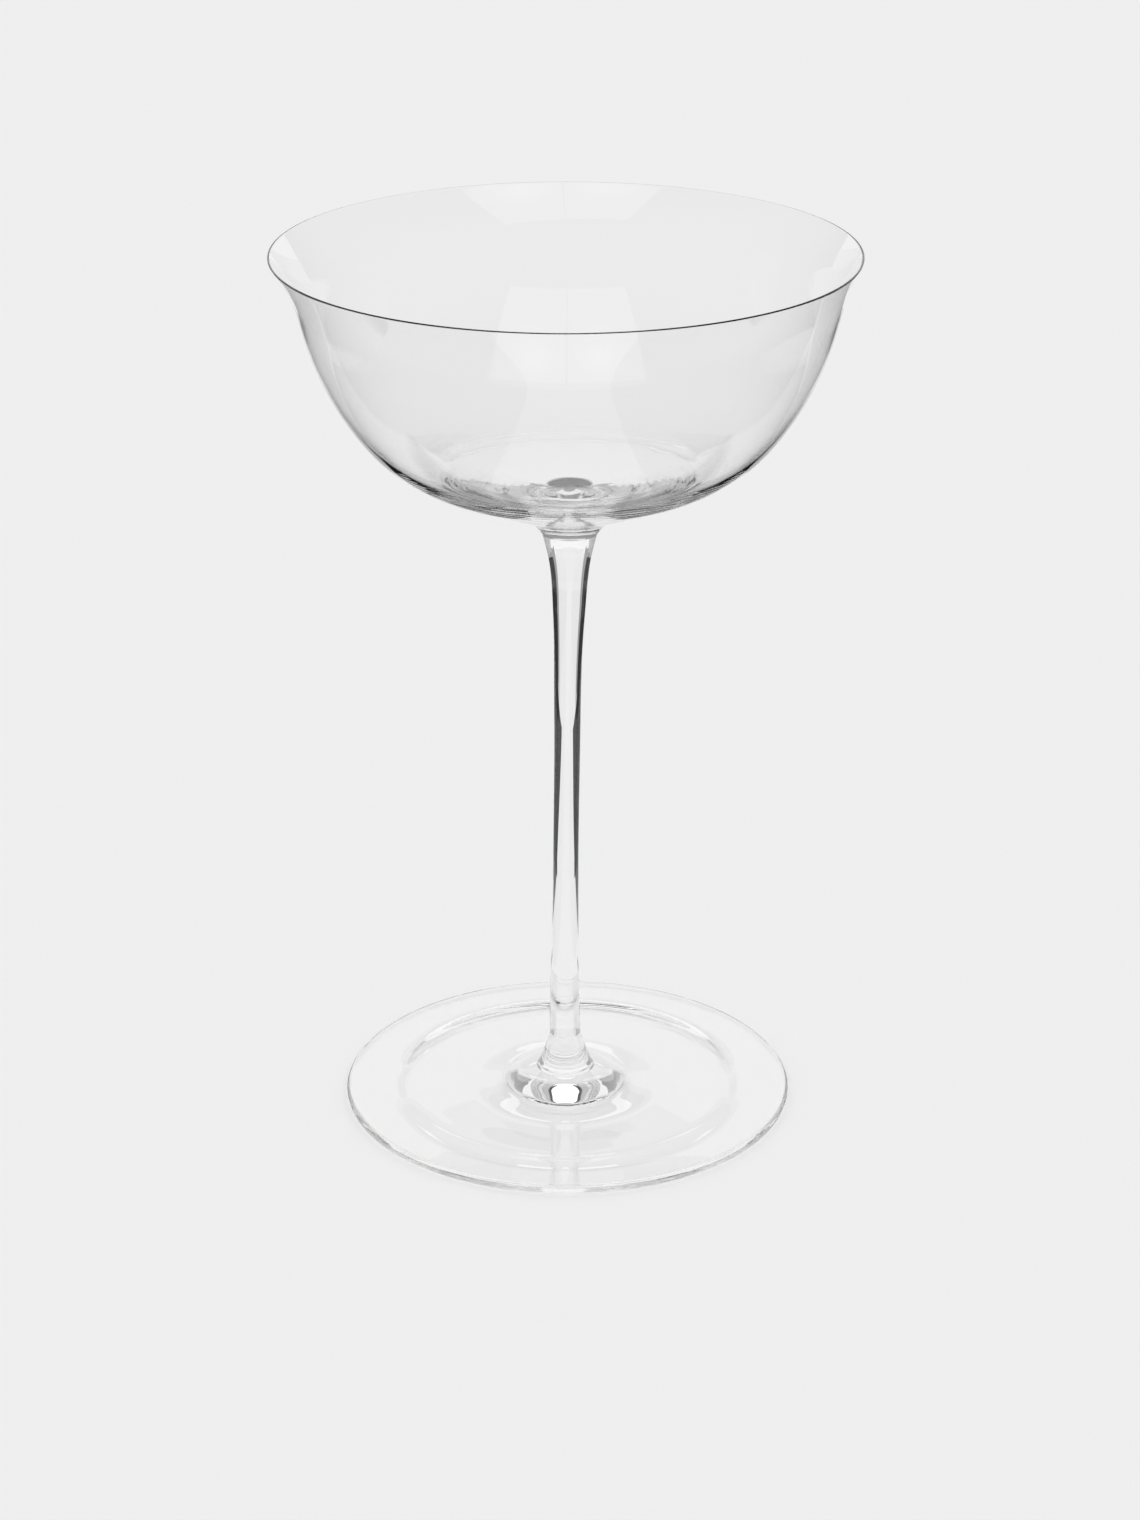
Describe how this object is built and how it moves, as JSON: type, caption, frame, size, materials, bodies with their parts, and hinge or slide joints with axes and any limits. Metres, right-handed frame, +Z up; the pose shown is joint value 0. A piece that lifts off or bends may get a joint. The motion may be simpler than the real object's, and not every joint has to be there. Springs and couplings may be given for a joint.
{
  "type": "cocktail glass",
  "caption": "Stemmed cocktail glass: shallow thin-walled bowl with a softly flared rim, on a long slender drawn stem and a flat round foot.",
  "frame": {"origin": "centre of the flat ring that the foot rests on, at the height of the surface it stands on", "axes": "+Z up along the stem, from the foot to the rim; the glass is round about Z, so X and Y have no side of their own"},
  "size_m": [0.108, 0.108, 0.1705],
  "materials": {
    "crystal": "clear fire-polished crystal, colourless, very smooth"
  },
  "bodies": {
    "root": {"bowl": "crystal", "bowl_collar": "crystal", "stem": "crystal", "foot_collar": "crystal", "foot": "crystal"}
  },
  "joints": []
}
